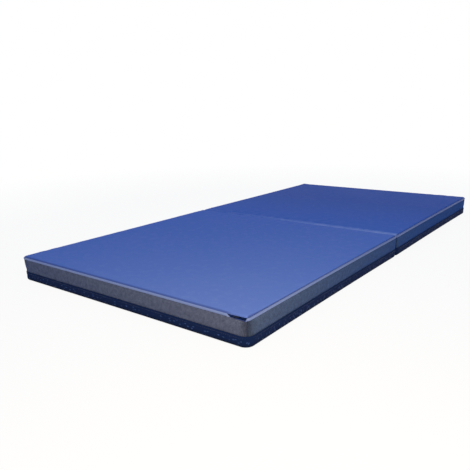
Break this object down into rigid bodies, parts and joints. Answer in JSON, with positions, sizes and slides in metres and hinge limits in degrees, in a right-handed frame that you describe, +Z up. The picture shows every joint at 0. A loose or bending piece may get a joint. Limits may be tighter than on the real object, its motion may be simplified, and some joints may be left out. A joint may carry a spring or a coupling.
{
  "type": "folding fall mat",
  "caption": "Thick foam floor mat that folds in half, with a smooth zip-off top cover, mesh side bands and a non-slip base, to soften a fall beside a bed.",
  "frame": {"origin": "on the floor under the middle of the fold", "axes": "+Y along the mat from the near panel to the far one, +X across it to the right, +Z up"},
  "size_m": [0.9146, 1.829, 0.0823],
  "materials": {
    "foam": "matte",
    "top_cover": "satin",
    "welt": "matte",
    "side_band": "matte",
    "base": "matte",
    "zip_cloth": "matte",
    "zip_coil": "satin",
    "zip_metal": "satin"
  },
  "bodies": {
    "near_panel": {"near_foam_core": "foam", "near_top_sheet": "top_cover", "near_top_welt": "welt", "near_end_band": "side_band", "near_left_band": "side_band", "near_right_band": "side_band", "near_fold_band": "side_band", "near_base_pan": "base", "near_zip_tape": "zip_cloth", "near_zip_coil": "zip_coil", "near_zip_left_stop": "zip_metal", "near_zip_right_stop": "zip_metal", "fold_hinge_strip": "top_cover"},
    "far_panel": {"far_foam_core": "foam", "far_top_sheet": "top_cover", "far_top_welt": "welt", "far_end_band": "side_band", "far_left_band": "side_band", "far_right_band": "side_band", "far_fold_band": "side_band", "far_base_pan": "base", "far_zip_tape": "zip_cloth", "far_zip_coil": "zip_coil", "far_zip_left_stop": "zip_metal", "far_zip_right_stop": "zip_metal"},
    "near_zip_pull": {"near_zip_slider": "zip_metal", "near_zip_pull_tab": "zip_cloth"},
    "far_zip_pull": {"far_zip_slider": "zip_metal", "far_zip_pull_tab": "zip_cloth"}
  },
  "joints": [
    {"name": "fold", "type": "hinge", "parent": "near_panel", "child": "far_panel", "pos_m": [0, 0, 0.0826], "axis": [1, 0, 0], "range_deg": [0, 180], "deforming": ["fold_hinge_strip"]},
    {"name": "near_zip", "type": "slide", "parent": "near_panel", "child": "near_zip_pull", "axis": [-1, 0, 0], "range_m": [0, 0.7932]},
    {"name": "far_zip", "type": "slide", "parent": "far_panel", "child": "far_zip_pull", "axis": [1, 0, 0], "range_m": [0, 0.7932]}
  ]
}
